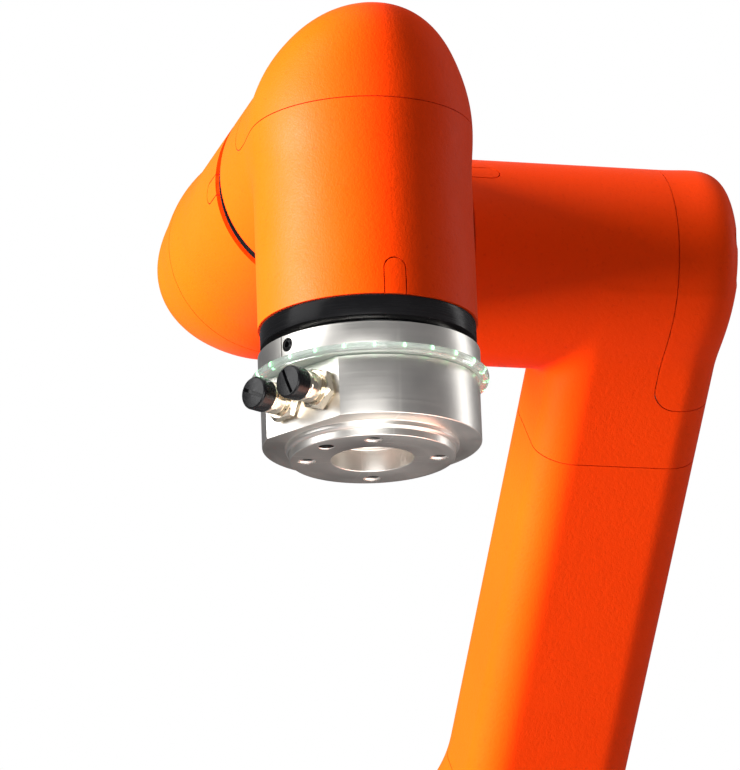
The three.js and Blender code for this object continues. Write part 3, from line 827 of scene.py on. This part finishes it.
for nm, x, ro, ri in (("base_power_socket", -13, 9.0, 6.5), ("base_signal_socket", 13, 6.0, 4.2)):
    Ms = place((x, 66.6, 34), (0, 1, 0), (1, 0, 0))
    s = lathe(nm + "_look", rounded([(0, -10), (ro, -10), (ro, 1.5), (ro + 1.5, 1.5), (ro + 1.5, 5), (ri, 5), (ri, -7), (0, -7)], r=0.4), NICKEL, Ms, seg=72)
    finish_piece(s, "base", "nickel", nm, mat=NICKEL)
    ins = lathe(nm + "_insert_look", rounded([(0, -6.95), (ri - 0.15, -6.95), (ri - 0.15, -3.0), (0, -3.0)], closed=False, r=0.3), BLACK, Ms, seg=48)
    for i in range(5 if ro > 8 else 4):
        a = 2 * math.pi * i / (5 if ro > 8 else 4) + 0.4
        q = ri * 0.55
        boolean(ins, lathe("c", [(0, -5), (0.8, -5), (0.8, 3), (0, 3)], BLACK, Ms @ Matrix.Translation((q * math.cos(a), q * math.sin(a), 0)), seg=16))
    finish_piece(ins, "base", "black_plastic", mat=BLACK)

# ------------------------------------------------------------------ seal rings
def seal(n, M, r, out, body, wide=True):
    if n == 6:
        prof = [(r - 8, out + 0.25), (r - 0.9, out + 0.25), (r - 0.7, out + 1.6), (r - 0.7, out + RING - 0.25), (r - 8, out + RING - 0.25)]
    else:
        prof = [(r - 8, out + 0.25), (r - 1.5, out + 0.25), (r - 1.2, out + 2.4), (r - 2.4, out + 3.0), (r - 2.4, out + 3.6), (r - 1.2, out + 4.2),
                (r - 1.2, out + RING - 2.4), (r - 8, out + RING - 2.4)]
    o = lathe(f"j{n}_seal_ring_look", rounded(prof, r=0.25, n=2), BLACK_SEAL, M, seg=160)
    finish_piece(o, body, "black_seal", f"j{n}_seal_ring", mat=BLACK_SEAL)
    if n != 6:
        o = lathe(f"j{n}_metal_rim_look", rounded([(r - 8, out + RING - 2.1), (r - 0.75, out + RING - 2.1), (r - 0.75, out + RING - 0.3), (r - 8, out + RING - 0.3)], r=0.3, n=2),
                  STEEL, M, seg=160)
        finish_piece(o, body, "gear_steel", mat=STEEL)


seal(1, I4, R_L, 78, "base")
seal(2, M_SH, R_L, OUT_S, "shoulder")
seal(3, M_UU, R_L, OUT_U, "upper_arm")
seal(4, M_T, R_S, OUT_T, "forearm")
seal(5, M_W1, R_S, OUT_W1, "wrist_1")
seal(6, M_W2, R_S, OUT_W2, "wrist_2")

# ------------------------------------------------------------------ tool flange, heights below the tool axis centre
MT = place(O, (0, 0, -1), (1, 0, 0))


def A(d):
    return -math.radians(d)


H0 = OUT_W2 + RING
ring = lathe("tool_upper_ring_look", rounded([(0, H0 + 0.3), (34, H0 + 0.3), (34, 89.5), (42.4, 89.5), (42.4, 98.0), (0, 98.0)], closed=False, r=0.45), ALU, MT, seg=220)
SA = A(254.7 - 46)
Ms = MT @ Matrix.Rotation(SA, 4, "Z")
boolean(ring, box_obj("c", (39.6, -0.25, 80), (50, 0.25, 99), Ms @ Matrix.Rotation(math.radians(4.6), 4, "Z")))
boolean(ring, lathe("c", [(0, -4), (2.7, -4), (2.7, 6), (0, 6)], ALU, Ms @ place((42.4, 0, 93.6), (1, 0, 0), (0, 0, 1)), seg=40))
finish_piece(ring, "tool", "machined_aluminium", "tool_upper_ring", mat=ALU, angle=28)
scr = lathe("tool_ring_screw_look", rounded([(0, -3.6), (2.5, -3.6), (2.5, -0.5), (1.5, 0.3), (1.25, 0.3), (1.25, -2.0), (0, -2.0)], closed=False, r=0.25), BLACK,
            Ms @ place((42.4, 0, 93.6), (1, 0, 0), (0, 0, 1)), seg=36)
finish_piece(scr, "tool", "black_plastic", mat=BLACK)

board = lathe("tool_led_board_look", rounded([(34, 98.3), (42.5, 98.3), (42.5, 99.6), (34, 99.6)], r=0.15, n=2), WHITE_PL, MT, seg=160)
finish_piece(board, "tool", "circuit_board", "tool_led_board", mat=WHITE_PL)
bm = bmesh.new()
for i in range(24):
    a = A(254.7 + 15 * i + 3)
    Mi = MT @ Matrix.Rotation(a, 4, "Z") @ Matrix.Translation((43.55, 0, 99.5))
    bmesh.ops.create_icosphere(bm, subdivisions=2, radius=0.62, matrix=Mi)
me = bpy.data.meshes.new("tool_leds_look")
bm.to_mesh(me)
bm.free()
leds = bpy.data.objects.new("tool_leds_look", me)
bpy.context.scene.collection.objects.link(leds)
finish_piece(leds, "tool", "light_ring", mat=LED)

light = lathe("tool_light_ring_look", rounded([(30, 100.6), (42.9, 100.6), (42.9, 98.4), (44.4, 98.4), (45.3, 99.0), (45.5, 100.0), (45.1, 101.6), (44.6, 102.0), (30, 102.0)], r=0.35, n=3), CLEAR, MT, seg=220)
finish_piece(light, "tool", "light_ring", "tool_light_ring", mat=CLEAR)

fl = lathe("tool_flange_look", rounded([(0, 102.3), (41.8, 102.3), (41.8, 125.4), (33.0, 125.4), (33.0, 127.2), (32.2, 128.0), (31.5, 128.0), (31.5, 131.0),
                                        (15.75, 131.0), (15.75, 122.4), (13.0, 122.4), (13.0, 118.0), (0, 118.0)], closed=False, r=0.55, n=3), ALU, MT, seg=256)
boolean(fl, box_obj("c", (37.0, -60, 80), (90, 60, 160), MT @ Matrix.Rotation(A(211), 4, "Z")))
for i in range(4):
    a = A(76 + 90 * i)
    Mh = MT @ Matrix.Translation((25 * math.cos(a), 25 * math.sin(a), 0))
    prof = [(0, 118.0)]
    z = 118.0
    while z < 129.9:
        prof += [(2.95, z), (2.55, z + 0.5)]
        z += 1.0
    prof += [(2.95, 130.0), (3.5, 130.6), (3.5, 133), (0, 133)]
    boolean(fl, lathe("c", prof, ALU, Mh, seg=36))
a = A(211)
boolean(fl, lathe("c", [(0, 123), (3.0, 123), (3.0, 130.5), (3.3, 130.8), (3.3, 133), (0, 133)], ALU, MT @ Matrix.Translation((25 * math.cos(a), 25 * math.sin(a), 0)), seg=40))
finish_piece(fl, "tool", "machined_aluminium", "tool_flange", mat=ALU, angle=24)
fl.data.materials.append(HOLE_SHADE)
# the thread bores below the chamfers take the near-black metal: painted shade in the holes, the chamfer rims stay
# aluminium
centres = [MT @ Vector((25 * math.cos(A(d)), 25 * math.sin(A(d)), 0)) for d in (76, 166, 256, 346, 211)]
for pg in fl.data.polygons:
    c = pg.center / MM
    if c.z > O.z - 129.95 and c.z < O.z - 116 and any(math.hypot(c.x - q.x, c.y - q.y) < 3.45 for q in centres):
        pg.material_index = 1

# connectors
nrm = Vector((math.cos(A(211)), math.sin(A(211)), 0))
tng = Vector((-nrm.y, nrm.x, 0))
for idn, s, slot_a, hexa in (("a", -9.85, -67.4, 12), ("b", 8.45, -26.9, 34)):
    c = Vector((0, 0, 113.4)) + nrm * 37.0 + tng * s
    C = MT @ place(c, nrm, (0, 0, 1))
    body = lathe(f"io_connector_{idn}_look", rounded([(0, 0.1), (6.6, 0.1), (6.6, 0.9), (5.6, 1.2), (5.6, 5.0), (5.95, 5.3), (5.95, 9.7), (5.5, 10.1), (5.5, 11.1), (4.2, 11.1), (4.2, 5.1), (0, 5.1)],
                                                     closed=False, r=0.25, n=2), NICKEL, C, seg=96)
    finish_piece(body, "tool", "nickel", f"io_connector_{idn}", mat=NICKEL)
    # hex nut with chamfered corners
    hexo = lathe(f"io_hex_nut_{idn}_look", [(5.9, 0.9), (8.3, 0.9), (8.3, 3.9), (5.9, 3.9)], NICKEL, C @ Matrix.Rotation(math.radians(hexa), 4, "Z"), seg=6)
    cone = lathe("c", [(0, -3), (9.4, -3), (8.4, 0.9), (8.4, 2.9), (6.9, 3.9), (6.9, 9), (0, 9)], NICKEL, C, seg=72)
    boolean(hexo, cone, "INTERSECT")
    finish_piece(hexo, "tool", "nickel", mat=NICKEL, angle=20)
    kn = []
    capo = lathe(f"io_dust_cap_{idn}_look", rounded([(0, 6.1), (3.8, 6.1), (3.8, 11.3), (6.1, 11.3), (6.3, 11.9), (6.3, 17.1), (5.8, 17.8), (0, 18.1)], closed=False, r=0.45), BLACK, C, seg=96)
    boolean(capo, box_obj("c", (-0.7, -5.3, 16.4), (0.7, 5.3, 21), C @ Matrix.Rotation(math.radians(slot_a), 4, "Z")))
    finish_piece(capo, "tool", "black_plastic", f"io_dust_cap_{idn}", mat=BLACK)

# ------------------------------------------------------------------ inner CAD nodes keep their shape, with procedural materials
for name, o in frame["nodes"].items():
    m = None
    if "gear_unit" in name or "rotor_shaft" in name:
        m = STEEL
    elif "stator" in name:
        m = COPPER
    elif "board" in name:
        m = BOARD
    else:
        m = PAINT
    o.data.materials.clear()
    o.data.materials.append(m)

# ------------------------------------------------------------------ camera, floor and light
right = Vector((0.967, -0.2521, -0.0355))
down = Vector((0.0439, 0.3024, -0.9522))
fwd = Vector((0.2508, 0.9192, 0.3035)).normalized()
right = (right - fwd * right.dot(fwd)).normalized()
down = fwd.cross(right)
pos = (O + 3.6 * right + 96.5 * down - 2500.0 * fwd) * MM
cam = bpy.data.cameras.new("camera")
cam.lens = 6498.0 * 36 / 770
cam.sensor_width = 36
cam.clip_start = 0.05
cam.clip_end = 50
co = bpy.data.objects.new("camera", cam)
mw = Matrix.Identity(4)
for i, v in enumerate((right, -down, -fwd, pos)):
    for k in range(3):
        mw[k][i] = v[k]
co.matrix_world = mw
bpy.context.scene.collection.objects.link(co)
bpy.context.scene.camera = co

fm, nt, b, tc = new_mat("pale_floor")
fn = noise(nt, tc.outputs["Object"], 6, 4, 0.6)
nt.links.new(ramp(nt, fn, [(0.3, (0.78, 0.78, 0.78, 1)), (0.7, (0.83, 0.83, 0.83, 1))]), b.inputs["Base Color"])
nt.links.new(mapr(nt, fn, 0.6, 0.75), b.inputs["Roughness"])
bpy.ops.mesh.primitive_circle_add(vertices=128, radius=1.75, fill_type="NGON", location=(0, 0, -0.0006))
floor = bpy.context.object
floor.name = "floor"
floor.data.materials.append(fm)

w = bpy.data.worlds.new("world")
bpy.context.scene.world = w
w.use_nodes = True
nt = w.node_tree
nt.nodes.clear()
out = nt.nodes.new("ShaderNodeOutputWorld")
mixs = nt.nodes.new("ShaderNodeMixShader")
lp = nt.nodes.new("ShaderNodeLightPath")
b1 = nt.nodes.new("ShaderNodeBackground")
b1.inputs[0].default_value = (0.95, 0.95, 1.0, 1)
b1.inputs[1].default_value = 0.165
b2 = nt.nodes.new("ShaderNodeBackground")
b2.inputs[0].default_value = (1, 1, 1, 1)
b2.inputs[1].default_value = 1.0
nt.links.new(lp.outputs["Is Camera Ray"], mixs.inputs[0])
nt.links.new(b1.outputs[0], mixs.inputs[1])
nt.links.new(b2.outputs[0], mixs.inputs[2])
nt.links.new(mixs.outputs[0], out.inputs[0])

FOCUS = (O + Vector((60, 40, -60))) * MM


def area(name, direction, dist, size, power, color=(1, 1, 1), size_y=None):
    l = bpy.data.lights.new(name, "AREA")
    l.shape = "RECTANGLE"
    l.size = size
    l.size_y = size_y or size
    l.energy = power
    l.color = color
    o = bpy.data.objects.new(name, l)
    d = Vector(direction).normalized()
    o.location = FOCUS + d * dist
    o.rotation_euler = (-d).to_track_quat("-Z", "Y").to_euler()
    o.visible_camera = False
    bpy.context.scene.collection.objects.link(o)
    return o


def cam_dir(r, u, b):
    """Direction in camera terms: right, up, towards the camera."""
    return right * r - down * u - fwd * b


painted = bpy.data.collections.new("painted")
plain = bpy.data.collections.new("plain")
trim = bpy.data.collections.new("trim")
for o in list(bpy.context.scene.objects):
    if o.type == "MESH":
        hit = o.data.materials and o.data.materials[0] == PAINT
        (painted if hit else plain).objects.link(o)
        if not hit and o != floor:
            trim.objects.link(o)


def only(o, coll):
    o.light_linking.receiver_collection = coll
    return o


# the satin metal reflects a lamp directly, so it has its own, weaker side light
only(area("key_paint", (-1.0, -0.10, 0.085), 1.6, 0.8, 198, (1.0, 0.98, 0.94), size_y=0.9), painted)
for o in painted.objects:
    o.visible_glossy = False
only(area("key_metal", (-1.0, -0.1, 0.45), 1.5, 1.0, 16, size_y=1.2), plain)
only(area("front_metal", cam_dir(-0.1, -0.1, 1.0), 2.2, 1.8, 52), plain)
only(area("bounce_metal", cam_dir(0.9, -0.75, 0.25), 0.9, 0.5, 3.0, (1.0, 0.42, 0.30)), trim)
area("top_soft", cam_dir(-0.15, 1.0, 0.05), 1.6, 1.4, 9)
only(area("low_metal", (0.15, -0.35, -1.0), 0.55, 0.6, 2.6, (1.0, 0.88, 0.82)), trim)
area("rim_right", cam_dir(1.0, 0.15, -0.45), 1.7, 0.5, 6, size_y=1.4)

vs = bpy.context.scene.view_settings
vs.view_transform = "Standard"
vs.look = "None"
